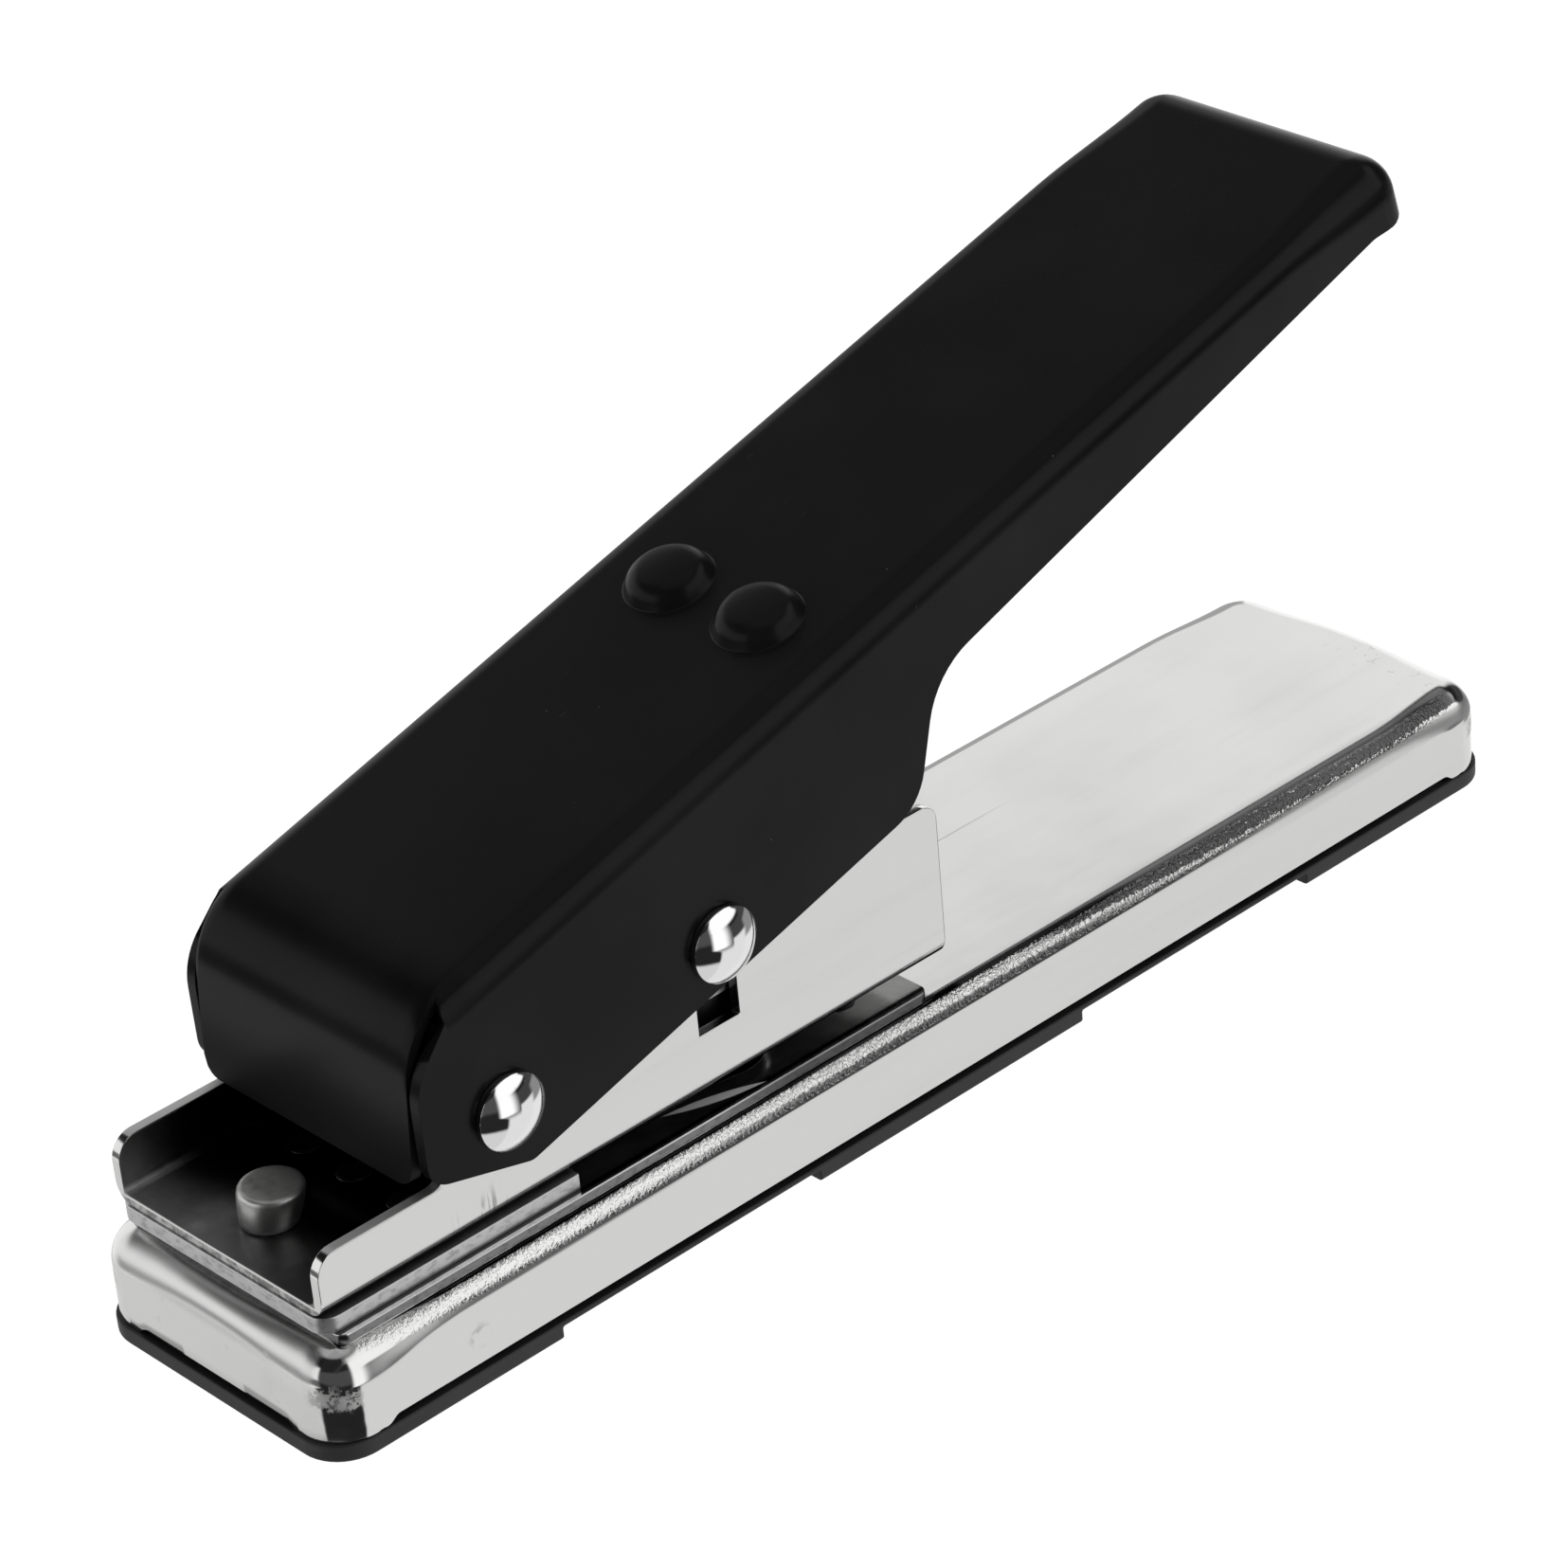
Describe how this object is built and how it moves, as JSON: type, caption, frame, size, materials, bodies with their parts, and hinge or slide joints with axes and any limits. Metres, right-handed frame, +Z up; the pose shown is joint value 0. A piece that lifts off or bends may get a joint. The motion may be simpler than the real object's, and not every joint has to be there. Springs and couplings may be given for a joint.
{
  "type": "guitar pick punch",
  "caption": "Hand lever punch that cuts guitar picks from plastic card: black sheet handle pivoted on a plated channel, over a plated base with a catch tray.",
  "frame": {"origin": "on the table plane, under the middle of the base", "axes": "+X along the base from the stud end to the grip end, +Y across, +Z up"},
  "size_m": [0.1672, 0.0384, 0.0779],
  "materials": {
    "black_paint": "satin",
    "nickel_plate": "bright plated",
    "chrome_steel": "bright domed",
    "plain_steel": "turned",
    "tool_steel": "ground",
    "spring_steel": "drawn wire",
    "charcoal_plastic": "moulded"
  },
  "bodies": {
    "tray": {"bottom_tray": "charcoal_plastic"},
    "frame": {"base_shell": "nickel_plate", "die_plate": "nickel_plate", "die_rivets": "plain_steel", "backing_plate": "plain_steel", "front_spacer": "nickel_plate", "front_stud": "plain_steel", "stack_rivets": "plain_steel", "channel_frame": "nickel_plate", "pivot_sleeve": "plain_steel", "spring_seat": "plain_steel", "spring_posts": "plain_steel", "return_spring_near": "spring_steel", "return_spring_far": "spring_steel"},
    "handle": {"handle": "black_paint", "pivot_pin": "chrome_steel", "pivot_washer": "chrome_steel", "drive_pin": "chrome_steel", "drive_washer": "chrome_steel"},
    "punch": {"punch_carrier": "plain_steel", "pick_punch": "tool_steel", "punch_screws": "tool_steel"}
  },
  "joints": [
    {"name": "base_lift", "type": "slide", "parent": "tray", "child": "frame", "axis": [0, 0, 1], "range_m": [0, 0.02]},
    {"name": "handle_press", "type": "hinge", "parent": "frame", "child": "handle", "pos_m": [-0.0575, 0, 0.02755], "axis": [0, 1, 0], "range_deg": [0, 16], "stiffness_Nm_per_rad": 13.8, "springref_deg": -4.58, "deforming": ["return_spring_near", "return_spring_far"]},
    {"name": "punch_stroke", "type": "slide", "parent": "frame", "child": "punch", "axis": [0, 0, -1], "range_m": [0, 0.008]}
  ],
  "couplings": [
    {"joint": "punch_stroke", "follows": "handle_press", "m_per_rad": 0.028373}
  ]
}
